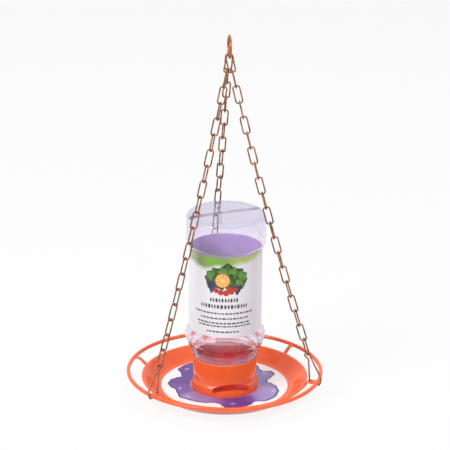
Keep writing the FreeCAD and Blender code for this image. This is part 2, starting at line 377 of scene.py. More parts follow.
def printed_sleeve():
    """White film, with painted shade across its width, and a soft green field along its upper edge at the
    front.
    """
    s = Shader("printed_sleeve")
    split = s.add("ShaderNodeSeparateXYZ")
    s.link(s.place, split.inputs["Vector"])
    height = split.outputs["Z"]
    cloud = s.noise(42.0, 2.0)
    drift = s.between(cloud, (0.3, -field_drift * MM), (0.7, field_drift * MM))
    side = s.between(split.outputs["X"], (-ramp_half_w * MM, 0.0), (ramp_half_w * MM, 1.0))
    reach = s.ramp(side, [(0.0, grey(0.50)), (0.2, grey(0.75)), (0.4, grey(0.58)),
                          (0.6, grey(0.38)), (0.8, grey(0.26)), (1.0, grey(0.20))])
    depth = s.math("ADD", s.math("ADD", height, drift), s.math("MULTIPLY", reach, field_reach * MM))
    field = s.between(depth, ((sleeve_high - field_blur) * MM, 0.0), ((sleeve_high + field_blur) * MM, 1.0))
    facing = s.between(split.outputs["Y"], (field_side_y * MM, 0.0), (field_front_y * MM, 1.0))
    field = s.math("MULTIPLY", field, facing)
    green = s.ramp(s.math("ADD", side, s.between(cloud, (0.3, -0.04), (0.7, 0.04))), [
        (0.0, linear(168, 176, 142)), (0.14, linear(124, 132, 90)), (0.27, linear(124, 170, 66)),
        (0.5, linear(122, 162, 70)), (0.65, linear(162, 184, 92)), (1.0, linear(188, 196, 116))])
    fleck = s.ramp(s.noise(25.0, 2.0), [(0.3, grey(0.97)), (0.7, grey(1.0))])
    # Painted shade on the film's white: darker towards both sides, with a grey band near the right, brightest
    # in the middle.
    white = s.ramp(side, [
        (0.0, linear(227, 227, 232)), (0.15, linear(231, 230, 235)), (0.35, linear(234, 233, 239)),
        (0.5, linear(239, 237, 242)), (0.7, linear(235, 232, 238)), (0.84, linear(232, 228, 236)),
        (0.91, linear(228, 223, 233)), (0.97, linear(235, 230, 239))])
    film_and_painted_shade = s.mix(1.0, white, fleck, "MULTIPLY")
    s.set(Base_Color=s.mix(field, film_and_painted_shade, green), Roughness=s.between(s.noise(80.0), (0.3, 0.34), (0.7, 0.44)))
    s.bump(s.noise(150.0, 2.0), 0.05, 0.0002)
    return s.material


def sleeve_inside():
    """The film's back, seen through the bottle: lilac, with painted light and shade, brighter at the left and
    darker towards the right.
    """
    s = Shader("sleeve_inside")
    tone = s.ramp(s.noise(35.0, 3.0), [(0.35, linear(232, 204, 247)), (0.65, linear(239, 215, 252))])
    side = s.between(s.along((1, 0, 0)), (-ramp_half_w * MM, 0.0), (ramp_half_w * MM, 1.0))
    painted_shade_ramp = s.ramp(side, [(0.0, grey(1.0)), (0.3, grey(1.0)), (0.5, grey(0.89)), (0.8, grey(0.78))])
    tone = s.mix(1.0, tone, painted_shade_ramp, "MULTIPLY")
    s.set(Base_Color=tone, Roughness=s.between(s.noise(90.0), (0.3, 0.42), (0.7, 0.55)))
    return s.material


def printed_card():
    s = Shader("printed_card")
    tone = s.ramp(s.noise(40.0, 3.0), [(0.3, linear(249, 252, 254)), (0.7, linear(252, 254, 255))])
    s.set(Base_Color=tone, Roughness=s.between(s.noise(120.0), (0.3, 0.40), (0.7, 0.5)))
    s.bump(s.noise(500.0, 2.0), 0.05, 0.0001)
    return s.material


def splash_ink():
    """Purple that runs from deep at the left and front to pale at the right."""
    s = Shader("splash_ink")
    split = s.add("ShaderNodeSeparateXYZ")
    s.link(s.place, split.inputs["Vector"])
    turn = s.math("ARCTAN2", split.outputs["Y"], split.outputs["X"])
    run = s.between(turn, (-math.pi, 0.0), (math.pi, 1.0))
    waver = s.between(s.noise(55.0, 2.0), (0.3, -0.012), (0.7, 0.012))
    tone = s.ramp(s.math("ADD", run, waver), [
        (0.0, linear(112, 82, 160)), (0.07, linear(122, 94, 170)), (0.10, linear(156, 138, 200)),
        (0.175, linear(160, 138, 200)), (0.20, linear(160, 116, 184)), (0.235, linear(144, 92, 172)),
        (0.265, linear(104, 60, 142)), (0.33, linear(100, 56, 140)), (0.355, linear(122, 84, 166)),
        (0.385, linear(156, 140, 202)), (0.47, linear(166, 154, 208)), (0.50, linear(142, 130, 184)),
        (0.60, linear(138, 126, 178)), (0.67, linear(106, 80, 156)), (1.0, linear(100, 70, 152))])
    s.set(Base_Color=tone, Roughness=s.between(s.noise(120.0), (0.3, 0.38), (0.7, 0.46)))
    return s.material


def ink(name, one, two, roughness=0.42):
    s = Shader(name)
    tone = s.ramp(s.noise(140.0, 3.0), [(0.3, linear(*one)), (0.7, linear(*two))])
    rough = s.between(s.noise(200.0), (0.3, roughness - 0.04), (0.7, roughness + 0.04))
    s.set(Base_Color=tone, Roughness=rough)
    return s.material


# Outlines and meshes

def rounded(corners, closed=False, step=12.0):
    """Corners (a, b, radius) as a list of (a, b), with arcs divided about every step degrees."""
    points = []
    count = len(corners)
    for index, (a, b, radius) in enumerate(corners):
        at = Vector((a, b))
        if radius <= 0 or (not closed and index in (0, count - 1)):
            points.append((a, b))
            continue
        back = (Vector(corners[index - 1][:2]) - at).normalized()
        forth = (Vector(corners[(index + 1) % count][:2]) - at).normalized()
        half = back.angle(forth) / 2
        middle = at + (back + forth).normalized() * (radius / math.sin(half))
        first = at + back * (radius / math.tan(half)) - middle
        turn = first.angle_signed(at + forth * (radius / math.tan(half)) - middle)
        pieces = max(2, math.ceil(abs(math.degrees(turn)) / step))
        for k in range(pieces + 1):
            angle = -turn * k / pieces
            points.append((middle.x + first.x * math.cos(angle) - first.y * math.sin(angle),
                           middle.y + first.x * math.sin(angle) + first.y * math.cos(angle)))
    return points


def divided(points, longest):
    """The same polyline with no step longer than this."""
    result = [points[0]]
    for one, two in zip(points, points[1:]):
        pieces = max(1, math.ceil(math.dist(one, two) / longest))
        for k in range(1, pieces + 1):
            result.append(tuple(p + (q - p) * k / pieces for p, q in zip(one, two)))
    return result


def lathe(bm, outline, steps=round_steps, warp=lambda r, z, angle: (r, z), closed=True):
    """Turns an outline of (radius, height), which starts on the axis, closes on itself or stays open."""
    rings = []
    for radius, height in outline:
        if radius < 1e-6:
            rings.append([bm.verts.new((0, 0, warp(0.0, height, 0.0)[1] * MM))])
            continue
        ring = []
        for k in range(steps):
            angle = 2 * math.pi * k / steps
            r, z = warp(radius, height, angle)
            ring.append(bm.verts.new((r * math.cos(angle) * MM, r * math.sin(angle) * MM, z * MM)))
        rings.append(ring)
    pairs = list(zip(rings, rings[1:]))
    if closed and len(rings[0]) > 1:
        pairs.append((rings[-1], rings[0]))
    for one, two in pairs:
        for k in range(steps):
            n = (k + 1) % steps
            if len(one) == 1:
                bm.faces.new((one[0], two[n], two[k]))
            elif len(two) == 1:
                bm.faces.new((one[k], one[n], two[0]))
            else:
                bm.faces.new((one[k], one[n], two[n], two[k]))


def skin(bm, rings, closed=False):
    """Joins rings of vertices with quads, and caps both ends unless the last ring meets the first."""
    pairs = list(zip(rings, rings[1:]))
    if closed:
        pairs.append((rings[-1], rings[0]))
    for one, two in pairs:
        for k in range(len(one)):
            n = (k + 1) % len(one)
            bm.faces.new((one[k], one[n], two[n], two[k]))
    if not closed:
        bm.faces.new(list(reversed(rings[0])))
        bm.faces.new(rings[-1])


def tube(bm, points, normal, radius, sides=12, closed=False, radii=None):
    """A round wire along a flat path of points in millimetres."""
    count = len(points)
    rings = []
    for index, at in enumerate(points):
        before = points[index - 1] if closed or index else at
        after = points[(index + 1) % count] if closed or index < count - 1 else at
        across = normal.cross((after - before).normalized()).normalized()
        r = radii[index] if radii else radius
        ring = []
        for k in range(sides):
            angle = 2 * math.pi * k / sides
            place = at + across * (r * math.cos(angle)) + normal * (r * math.sin(angle))
            ring.append(bm.verts.new(place * MM))
        rings.append(ring)
    skin(bm, rings, closed)


def radial(azimuth):
    return Vector((math.cos(math.radians(azimuth)), math.sin(math.radians(azimuth)), 0))


def bar(bm, path, widths, thickness, azimuth, corner=0.7):
    """A flat bar of rounded section along a path of (radius, height), at an azimuth."""
    out = radial(azimuth)
    side = Vector((-out.y, out.x, 0))
    rings = []
    for index, (r, z) in enumerate(path):
        one = Vector(path[max(index - 1, 0)])
        two = Vector(path[min(index + 1, len(path) - 1)])
        along = (two - one).normalized()
        up = out * -along.y + Vector((0, 0, along.x))
        w, t = widths[index] / 2, thickness / 2
        section = rounded([(-w, -t, corner), (w, -t, corner), (w, t, corner), (-w, t, corner)], True, 30.0)
        at = out * r + Vector((0, 0, z))
        rings.append([bm.verts.new((at + side * a + up * b) * MM) for a, b in section])
    skin(bm, rings)


def piece(name, bm, body, materials, replaced=(), sharp=sharp_edge):
    """Turns the mesh into an object that rides on a body."""
    bmesh.ops.recalc_face_normals(bm, faces=bm.faces)
    mesh = bpy.data.meshes.new(name)
    bm.to_mesh(mesh)
    bm.free()
    mesh.shade_smooth()
    mesh.set_sharp_from_angle(angle=math.radians(sharp))
    made = bpy.data.objects.new(name, mesh)
    bpy.context.scene.collection.objects.link(made)
    for material in materials:
        mesh.materials.append(material)
    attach(made, body)
    if replaced:
        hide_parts(*replaced)
    return made


def cut_away(target, cutters):
    """Subtracts the cutters' meshes from the target's and removes them."""
    for cutter in cutters:
        modifier = target.modifiers.new("cut", "BOOLEAN")
        modifier.operation = "DIFFERENCE"
        modifier.solver = "EXACT"
        modifier.object = cutter
    depsgraph = bpy.context.evaluated_depsgraph_get()
    mesh = bpy.data.meshes.new_from_object(target.evaluated_get(depsgraph))
    target.modifiers.clear()
    old = target.data
    target.data = mesh
    bpy.data.meshes.remove(old)
    for cutter in cutters:
        bpy.data.objects.remove(cutter)


def loose(bm):
    """A helper object that is not kept."""
    mesh = bpy.data.meshes.new("cutter")
    bmesh.ops.recalc_face_normals(bm, faces=bm.faces)
    bm.to_mesh(mesh)
    bm.free()
    made = bpy.data.objects.new("cutter", mesh)
    bpy.context.scene.collection.objects.link(made)
    return made


# Pieces

def make_tray(material):
    """Dish, perch ring, three gooseneck spokes and three wide ones, which are drilled for the clips."""
    wall_in = dish_r - rim_w
    rise = dish_h - floor_t
    step = dish_wall * math.hypot(wall_run, rise) / rise
    under = floor_r + step - floor_t * wall_run / rise
    neck = under + (dish_h - rim_h) * wall_run / rise
    outline = [(0, 0, 0), (under, 0, 2.5), (neck, dish_h - rim_h, 0.8), (dish_r, dish_h - rim_h, 1.2),
               (dish_r, dish_h, 1.2), (wall_in, dish_h, 0.9), (floor_r, floor_t, 9.0), (0, floor_t, 0)]
    bm = bmesh.new()
    lathe(bm, divided(rounded(outline), 12.0), moulding_steps)
    turn = 360.0 / moulding_steps
    circle = [radial(turn * k) * perch_r + Vector((0, 0, perch_z)) for k in range(moulding_steps)]
    tube(bm, circle, Vector((0, 0, 1)), perch_rod_r, 16, True)
    low = dish_h - rim_h / 2
    reach = perch_r - dish_r
    goose = rounded([(dish_r - rim_w / 2, low, 0), (dish_r + 0.06 * reach, low, 1.0),
                     (dish_r + 0.56 * reach, perch_z, 6.0), (perch_r, perch_z, 0)], step=8.0)
    spoke_step = 360.0 / spoke_count
    flares = [max(0.0, 1 - (r - goose[0][0]) / spoke_flare_run) ** 2 for r, z in goose]
    widths = [spoke_w + spoke_flare_w * flare for flare in flares]
    for k in range(1, spoke_count, 2):
        bar(bm, goose, widths, spoke_t, chain_azimuth + k * spoke_step)
    knee = dish_r + web_knee
    path = divided(rounded([(dish_r - rim_w / 2, low, 0), (dish_r, low, 1.5), (knee, perch_z, 3.0),
                            (perch_r, perch_z, 0)], step=8.0), 1.5)
    widths = []
    for r, z in path:
        t = min(1.0, max(0.0, (r - path[0][0]) / (knee + 1.0 - path[0][0])))
        widths.append(web_root_w + (web_tip_w - web_root_w) * math.sin(t * math.pi / 2))
    drill_low, drill_high = perch_z - drill_reach, perch_z + drill_reach
    for k in range(0, spoke_count, 2):
        azimuth = chain_azimuth + k * spoke_step
        web = bmesh.new()
        bar(web, path, widths, spoke_t, azimuth, 0.8)
        web_piece = loose(web)
        drill = bmesh.new()
        lathe(drill, [(0, drill_low), (clip_hole_r, drill_low),
                      (clip_hole_r, drill_high), (0, drill_high)], 32)
        bmesh.ops.translate(drill, verts=drill.verts, vec=radial(azimuth) * hole_r * MM)
        cut_away(web_piece, [loose(drill)])
        bm.from_mesh(web_piece.data)
        bpy.data.objects.remove(web_piece)
    return piece("tray_moulding", bm, "feeder", [material], ["tray"])


def make_collar(material, bore_shade_material):
    """Sleeve on a flared foot, with slanting ports."""
    base = floor_t
    bore = collar_waist_r - collar_wall
    outline = [(0, base, 0), (collar_foot_r - 0.8, base, 0.6), (collar_foot_r, base + 3.0, 2.0),
               (collar_foot_r - 0.2, foot_top_z, 2.4), (collar_waist_r - 0.5, shoulder_z + 0.4, 2.0),
               (collar_waist_r, collar_rim_z, 0.7), (bore, collar_rim_z, 0.5),
               (bore, base + collar_floor_t, 1.0), (0, base + collar_floor_t, 0)]
    port_azimuths = [math.radians(chain_azimuth - 60.0 + 360.0 / port_count * k) for k in range(port_count)]
    half_angle = port_w / 2 / collar_foot_r

    def sills(r, z, angle):
        """Leans the foot back under each port, so that its sill faces up."""
        if r > bore + 1.0 and z < foot_top_z + 1.5:
            off = min(abs((angle - a + math.pi) % (2 * math.pi) - math.pi) for a in port_azimuths)
            share = min(1.0, max(0.0, (half_angle + 0.03 - off) / 0.06))
            rise = min(1.0, max(0.0, (z - base - 0.8) / (port_sill_h - 0.8)))
            r -= sill_slope * share * rise
        return r, z

    bm = bmesh.new()
    lathe(bm, divided(rounded(outline, step=15.0), 1.6), moulding_steps, sills)
    collar = piece("ported_collar", bm, "feeder", [material], ["port_collar"])
    across = [port_w / 2 * (j / 10 - 1) for j in range(21)]
    arch = [(a, 1 - (2 * a / port_w) ** 2) for a in across]
    slot = [(a, port_low_arch * (v - 0.5)) for a, v in arch]
    slot += [(a, port_side_h + (port_h + 0.4 - port_side_h) * v) for a, v in reversed(arch)]
    cutters = []
    for port_azimuth in port_azimuths:
        cutter = bmesh.new()
        near = [cutter.verts.new((-collar_foot_r / 2 * MM, a * MM, b * MM)) for a, b in slot]
        far = [cutter.verts.new((collar_foot_r / 2 * MM, a * MM, b * MM)) for a, b in slot]
        for i in range(len(slot)):
            n = (i + 1) % len(slot)
            cutter.faces.new((near[i], near[n], far[n], far[i]))
        cutter.faces.new(near)
        cutter.faces.new(far)
        place = (Matrix.Rotation(port_azimuth, 4, "Z")
                 @ Matrix.Translation(Vector((collar_foot_r - 1.0, 0, base + port_sill_h)) * MM)
                 @ Matrix.Rotation(math.radians(-port_slope), 4, "Y"))
        bmesh.ops.transform(cutter, matrix=place, verts=cutter.verts)
        cutters.append(loose(cutter))
    cut_away(collar, cutters)
    collar.data.shade_smooth()
    collar.data.set_sharp_from_angle(angle=math.radians(sharp_edge))
    collar.data.materials.append(bore_shade_material)
    # Faces inside the bore, below the rim, take the painted shade.
    for polygon in collar.data.polygons:
        inside = polygon.center.xy.length < (collar_waist_r - collar_wall / 2) * MM
        if inside and polygon.center.z < (collar_rim_z - 1.0) * MM:
            polygon.material_index = 1
    return collar


def bottle_warp(outer):
    """Presses the seam into the closed end, raises the thread and sinks the shoulder's grooves."""
    cap_z = top_z if outer else top_z - bottle_wall
    across = Vector((-math.sin(math.radians(seam_turn)), math.cos(math.radians(seam_turn))))
    along = Vector((across.y, -across.x))

    def warp(r, z, angle):
        if z > cap_z - seam_reach:
            at = Vector((r * math.cos(angle), r * math.sin(angle)))
            run = abs(at.dot(along))
            half = seam_half_w + (seam_end_w - seam_half_w) * min(1.0, run / seam_half_len) ** 3
            off = min(1.0, abs(at.dot(across)) / half)
            fade = min(1.0, max(0.0, (seam_half_len - run) / seam_fade))
            z -= fade * seam_depth * math.cos(off * math.pi / 2) ** 2
        if outer and mouth_z + thread_low < z < seat_z - thread_high:
            phase = ((z - mouth_z) / thread_pitch - angle / (2 * math.pi)) % 1.0
            ends = min(1.0, (z - mouth_z - thread_low) / thread_fade,
                       (seat_z - thread_high - z) / thread_fade)
            r += thread_h * ends * max(0.0, math.cos((phase - 0.5) * math.pi)) ** 6
        if outer and seat_z + 2.0 < z < lobe_z:
            r -= groove_depth * sum(math.exp(-((z - g) / groove_half_w) ** 2) for g in grooves)
        return r, z

    return warp


def make_bottle(material):
    outside = [(neck_r - bottle_wall, mouth_z, 0.5), (neck_r, mouth_z, 0.5), (neck_r, seat_z, 0.4),
               (seat_r, seat_z, 0.8), (seat_r + 0.3, seat_z + 2.6, 3.0), (lobe_r - 0.35, lobe_z - 4.0, 8.0),
               (lobe_r - 0.1, lobe_z + 2.5, 3.0), (body_r, panel_z, 2.0), (body_r, bevel_z, 2.0),
               (head_r, head_z, 2.5), (head_r, top_z, cap_edge_r), (0, top_z, 0)]
    inside = [(0, top_z - bottle_wall, 0), (head_r - bottle_wall, top_z - bottle_wall, cap_edge_r - 1.0),
              (head_r - bottle_wall, head_z + 0.3, 2.5), (body_r - bottle_wall, bevel_z + 0.3, 2.0),
              (body_r - bottle_wall, panel_z, 2.0), (lobe_r - 0.1 - bottle_wall, lobe_z + 2.2, 3.0),
              (lobe_r - 0.35 - bottle_wall, lobe_z - 4.0, 8.0), (seat_r - bottle_wall, seat_z + 2.9, 3.0),
              (neck_r - bottle_wall, seat_z - 0.6, 1.5), (neck_r - bottle_wall, mouth_z, 0.3)]

    def refined(corners):
        """Rounds the outline, and divides the cap, the shoulder and the neck most finely."""
        points = rounded(corners, step=10.0)
        fine = [points[0]]
        for one, two in zip(points, points[1:]):
            flat = abs(one[1] - two[1]) < 1e-6 and min(one[1], two[1]) > head_z + 10
            neck = max(one[1], two[1]) < seat_z + 0.1 and abs(one[0] - two[0]) < 0.01
            shoulder = seat_z < max(one[1], two[1]) < lobe_z + 1.0
            fine += divided([one, two], 0.8 if flat or shoulder else 0.5 if neck else 4.0)[1:]
        return fine

    bm = bmesh.new()
    lathe(bm, refined(outside), bottle_steps, bottle_warp(True), closed=False)
    lathe(bm, refined(inside), bottle_steps, bottle_warp(False), closed=False)
    bmesh.ops.remove_doubles(bm, verts=bm.verts, dist=1e-7)
    return piece("blown_bottle", bm, "bottle", [material], ["bottle"], sharp_bottle_edge)


def make_sleeve(outer, inner):
    """Wrap of film on the panel; its inner faces have a material of their own."""
    bm = bmesh.new()
    inside_r = sleeve_r - label_t
    outline = divided([(sleeve_r, sleeve_low), (sleeve_r, sleeve_high), (inside_r, sleeve_high),
                       (inside_r, sleeve_low), (sleeve_r, sleeve_low)], 6.0)
    lathe(bm, outline[:-1])
    made = piece("sleeve", bm, "bottle", [outer, inner], ["bottle_label"])
    middle = (inside_r + label_t / 2) * MM
    for polygon in made.data.polygons:
        if polygon.center.xy.length < middle and abs(polygon.normal.z) < 0.5:
            polygon.material_index = 1
    return made


def make_card(material):
    bm = bmesh.new()
    outline = [(card_inner_r, floor_t, 0), (card_outer_r, floor_t, 0), (card_outer_r, card_top, card_edge_r),
               (card_inner_r, card_top, card_edge_r)]
    lathe(bm, rounded(outline, True, 30.0))
    return piece("card", bm, "feeder", [material], ["tray_card"])


def islands(node):
    """Corner positions of each separate solid of a CAD node, in millimetres."""
    bm = bmesh.new()
    bm.from_mesh(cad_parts[node].data)
    bmesh.ops.remove_doubles(bm, verts=bm.verts, dist=1e-6)
    bm.verts.ensure_lookup_table()
    seen = set()
    groups = []
    for start in bm.verts:
        if start in seen:
            continue
        group, heap = [], [start]
        seen.add(start)
        while heap:
            vertex = heap.pop()
            group.append(vertex.co / MM)
            for edge in vertex.link_edges:
                other = edge.other_vert(vertex)
                if other not in seen:
                    seen.add(other)
                    heap.append(other)
        groups.append(group)
    bm.free()
    return groups


def link_points(half_w, half_l):
    """A link's path, with its right side divided for the seam."""
    corners = [(half_w, half_l, link_corner), (-half_w, half_l, link_corner),
               (-half_w, -half_l, link_corner), (half_w, -half_l, link_corner)]
    path = rounded(corners, True, 15.0)
    return path + divided([path[-1], path[0]], 1.2)[1:-1]


def make_chain(node, material):
    """Round-wire links in the places of the CAD chain's links, each with its butt seam."""
    bm = bmesh.new()
    # Half the side of the CAD link's square wire, whose section is as large as the round wire's
    half_side = link_wire_r * math.sqrt(math.pi / 2) * math.cos(math.pi / 4)
    for group in islands(node):
        cloud = np.array(group)
        centre = cloud.mean(0)
        axes = np.linalg.svd(cloud - centre)[2]
        long_axis, wide, normal = (Vector(a) for a in axes)
        spread = (cloud - centre) @ axes[0]
        half_l = (spread.max() - spread.min()) / 2 - half_side
        at = Vector(centre)
        path = link_points(link_half_w, half_l)
        points = [at + wide * a + long_axis * b for a, b in path]
        right = [i for i, (a, b) in enumerate(path) if a >= 0]
        seam = min(right, key=lambda i: abs(path[i][1] - link_seam_at))
        radii = [link_wire_r * (link_seam_dip if i == seam else 1.0) for i in range(len(path))]
        tube(bm, points, normal, link_wire_r, 12, True, radii)
    return piece(node + "_links", bm, "feeder", [material], [node], sharp_wire_edge)


def make_ring(material):
    """Wire ring inside the CAD ring's box, with its weld."""
    low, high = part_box("hanging_ring")
    centre = (low + high) / 2 / MM
    reach = min(ring_r, (high.z - low.z) / 2 / MM - ring_wire_r - 0.02)
    along = radial(90.0 + ring_turn)
    up = Vector((0, 0, 1))
    points = []
    for k in range(ring_steps):
        angle = 2 * math.pi * k / ring_steps
        points.append(centre + along * (reach * math.cos(angle)) + up * (reach * math.sin(angle)))
    radii = [ring_wire_r * (ring_weld_dip if k == ring_weld else 1.0) for k in range(ring_steps)]
    bm = bmesh.new()
    tube(bm, points, along.cross(up), ring_wire_r, 24, True, radii)
    return piece("ring", bm, "hanger", [material], ["hanging_ring"], sharp_wire_edge)


def clip_path():
    """The clip's bent wire in its own radial plane, as (radius, height, bend)."""
    under = web_z - spoke_t - clip_wire_r - clip_gap
    neck_at = hole_r - clip_neck_in
    neck_z = web_z + clip_neck_h
    far = perch_rod_r + clip_wire_r + clip_gap
    return [(hole_r + clip_tail, under, 0), (hole_r, under, 0.9), (neck_at, neck_z, 3.0),
            (neck_at - 0.80 * eye_w, neck_z + 0.50 * eye_h, 1.6),
            (neck_at - 0.55 * eye_w, neck_z + 0.90 * eye_h, 1.4),
            (neck_at + 0.20 * eye_w, neck_z + 1.10 * eye_h, 1.6),
            (neck_at + 0.40 * eye_w, neck_z + 0.28 * eye_h, 3.0),
            (perch_r + far + 0.8, perch_z + 5.2, 3.0), (perch_r + far, perch_z - 0.4, 1.4),
            (perch_r + 0.62 * far, perch_z - 0.88 * far, 1.0),
            (perch_r - 0.30 * far, perch_z - 1.02 * far, 0)]


def make_clip(node, azimuth, material):
    out = radial(azimuth)
    path = divided(rounded(clip_path(), step=12.0), 2.0)
    points = [out * r + Vector((0, 0, z)) for r, z in path]
    bm = bmesh.new()
    tube(bm, points, out.cross(Vector((0, 0, 1))), clip_wire_r, 14)
    return piece(node + "_wire", bm, "feeder", [material], [node], sharp_wire_edge)


# Prints

def filled(bm, outline):
    face = bm.faces.new([bm.verts.new((a * MM, b * MM, 0)) for a, b in outline])
    bmesh.ops.triangulate(bm, faces=[face], ngon_method="EAR_CLIP")


def polar(a, b, r, angle):
    return a + r * math.cos(angle), b + r * math.sin(angle)


def print_on_sleeve(name, outlines, material, lift):
    """Flat outlines (across, height), wrapped on the sleeve from its front, with a lift over its film."""
    bm = bmesh.new()
    for outline in outlines:
        filled(bm, outline)
    reach = max(abs(v.co.x) for v in bm.verts)
    cuts = int(reach / MM / wrap_step)
    for k in range(-cuts, cuts + 1):
        geometry = list(bm.verts) + list(bm.edges) + list(bm.faces)
        bmesh.ops.bisect_plane(bm, geom=geometry, plane_co=(k * wrap_step * MM, 0, 0), plane_no=(1, 0, 0),
                               dist=1e-7)
    bmesh.ops.triangulate(bm, faces=bm.faces)
    r = sleeve_r + lift
    for v in bm.verts:
        angle = -math.pi / 2 + v.co.x / (sleeve_r * MM)
        v.co = Vector((r * math.cos(angle) * MM, r * math.sin(angle) * MM, v.co.y))
    made = piece(name, bm, "bottle", [material])
    turn_faces(made, lambda middle: Vector((middle.x, middle.y, 0)))


def turn_faces(made, outward):
    """Turns every face of a print to look along what outward gives for its middle."""
    bm = bmesh.new()
    bm.from_mesh(made.data)
    for face in bm.faces:
        if face.normal.dot(outward(face.calc_center_median())) < 0:
            face.normal_flip()
    bm.to_mesh(made.data)
    bm.free()


def print_on_card(name, outlines, material, lift):
    """Flat outlines (x, y) on the card, with a lift over its face."""
    bm = bmesh.new()
    for outline in outlines:
        filled(bm, outline)
    for v in bm.verts:
        v.co.z = (card_top + lift) * MM
    made = piece(name, bm, "feeder", [material])
    turn_faces(made, lambda middle: Vector((0, 0, 1)))


def disc(a, b, r, count=28):
    return [polar(a, b, r, 2 * math.pi * k / count) for k in range(count)]


def vine_leaf(a, b, size, turn):
    """A leaf of five pointed lobes, with its stalk end at (a, b) and its middle lobe along the turn."""
    lobes = [(-118, 0.62), (-62, 0.86), (0, 1.0), (62, 0.86), (118, 0.62)]
    points = [(-178, 0.10), (-88, 0.46), (-31, 0.52), (31, 0.52), (88, 0.46), (178, 0.10)]
    for t, r in lobes:
        points += [(t - 13, r * 0.72), (t - 7, r * 0.74), (t, r), (t + 7, r * 0.74), (t + 13, r * 0.72)]
    return [polar(a, b, size * r, math.radians(t + turn)) for t, r in sorted(points)]


def rounded_bar(a, b, length, height):
    h, r = height / 2, height / 2 * 0.6
    return rounded([(a, b - h, r), (a + length, b - h, r), (a + length, b + h, r), (a, b + h, r)], True, 30.0)


def slice_segment(a, b, r, start, sweep):
    """A wedge of a cut orange, with a gap of pith along each side."""
    gap, parts = 0.08, 8
    return [polar(a, b, r * 0.14, start + sweep / 2)] + [
        polar(a, b, r * 0.84, start + gap + (sweep - 2 * gap) * k / parts) for k in range(parts + 1)]


def dashes(rng, row_z, left, right, height, shortest, longest, space):
    """A row of plain bars of uneven length, in the place of a line of small print."""
    rows = []
    at = left
    while at < right - shortest:
        length = min(rng.uniform(shortest, longest), right - at)
        rows.append(rounded_bar(at, row_z, length, height))
        at += length + space
    return rows


def leaf_veins(a, b, size, turn):
    """Thin tapering veins from the leaf's stalk end to its lobes."""
    rows = []
    for lobe, reach in ((-118, 0.50), (-62, 0.72), (0, 0.86), (62, 0.72), (118, 0.50)):
        angle = math.radians(turn + lobe)
        side = Vector((-math.sin(angle), math.cos(angle))) * size * 0.022
        tip = polar(a, b, size * reach, angle)
        rows.append([(a + side.x, b + side.y), (a - side.x, b - side.y), tip])
    return rows


def make_sleeve_print():
    """Vine leaves, grapes and a cut orange over rows of plain bars: all generic."""
    dark_leaf = ink("leaf_dark", (44, 84, 34), (66, 106, 46))
    light_leaf = ink("leaf_light", (78, 124, 50), (102, 150, 66))
    vein = ink("leaf_vein", (112, 150, 80), (130, 166, 94))
    grape = ink("grape", (38, 40, 62), (58, 62, 92), 0.35)
    gloss = ink("grape_gloss", (120, 130, 165), (140, 148, 180))
    peel = ink("peel", (226, 110, 36), (238, 132, 48))
    pith = ink("pith", (244, 214, 150), (248, 222, 164))
    flesh = ink("flesh", (240, 156, 34), (248, 178, 50))
    berry = ink("berry", (186, 48, 34), (206, 62, 44))
    dark = ink("print_grey", (66, 64, 70), (92, 90, 96))
    leaves = [(-12.0, 149.5, 14.0, 170), (-8.0, 154.0, 13.0, 124), (2.0, 156.5, 15.0, 88),
              (10.5, 153.5, 14.0, 44), (13.0, 148.0, 14.0, 8), (-6.0, 147.0, 9.5, -72),
              (4.5, 148.0, 10.5, -58)]
    print_on_sleeve("print_leaves_dark", [vine_leaf(*leaf) for leaf in leaves], dark_leaf, 0.04)
    small = [(-16.0, 154.5, 8.5, 146), (-3.0, 159.0, 8.0, 106), (8.0, 159.0, 8.0, 70), (18.0, 153.0, 9.0, 26),
             (14.0, 145.0, 9.5, -18)]
    print_on_sleeve("print_leaves_light", [vine_leaf(*leaf) for leaf in small], light_leaf, 0.07)
    print_on_sleeve("print_veins", [row for leaf in leaves + small for row in leaf_veins(*leaf)], vein, 0.10)
    grapes = []
    for a, b, shift, counts in ((-16.5, 146.5, 0.7, (4, 4, 3, 2, 1)), (14.0, 142.0, -0.5, (3, 3, 2, 1))):
        for row, count in enumerate(counts):
            for k in range(count):
                grapes.append((a + 3.2 * (k - (count - 1) / 2) + shift * (row % 2), b - 2.7 * row, 1.9))
    print_on_sleeve("print_grapes", [disc(*g) for g in grapes], grape, 0.13)
    print_on_sleeve("print_grape_gloss", [disc(a - 0.7, b + 0.7, 0.5, 12) for a, b, r in grapes], gloss, 0.16)
    berries = [(-10.8, 137.2, 3.0), (-5.4, 135.2, 3.4), (0.8, 134.6, 3.6), (6.8, 136.0, 3.3),
               (11.4, 138.8, 2.7), (3.8, 139.6, 2.8)]
    print_on_sleeve("print_berries", [disc(*g) for g in berries], berry, 0.19)
    fruit = (-3.5, 149.5, 8.6)
    print_on_sleeve("print_peel", [disc(*fruit, 64)], peel, 0.19)
    print_on_sleeve("print_pith", [disc(fruit[0], fruit[1], fruit[2] * 0.9, 64)], pith, 0.22)
    wedge_count = 9
    sweep = 2 * math.pi / wedge_count
    wedges = [slice_segment(*fruit, 0.3 + k * sweep, sweep) for k in range(wedge_count)]
    print_on_sleeve("print_flesh", wedges, flesh, 0.25)
    rng = random.Random(7)
    bars = []
    for row_z, left, right in ((125.4, -18.0, 15.0), (117.4, -30.0, 27.5)):
        bars += dashes(rng, row_z, left, right, 5.0, 1.5, 3.4, 1.3)
    for row_z, left, right in ((109.0, -39.0, 35.0), (102.7, -30.5, 28.0), (96.9, -35.0, 31.5),
                               (93.2, -33.5, 31.0), (86.4, -22.0, 18.5)):
        bars += dashes(rng, row_z, left, right, 1.9, 1.6, 5.0, 1.0)
    print_on_sleeve("print_bars", bars, dark, 0.05)


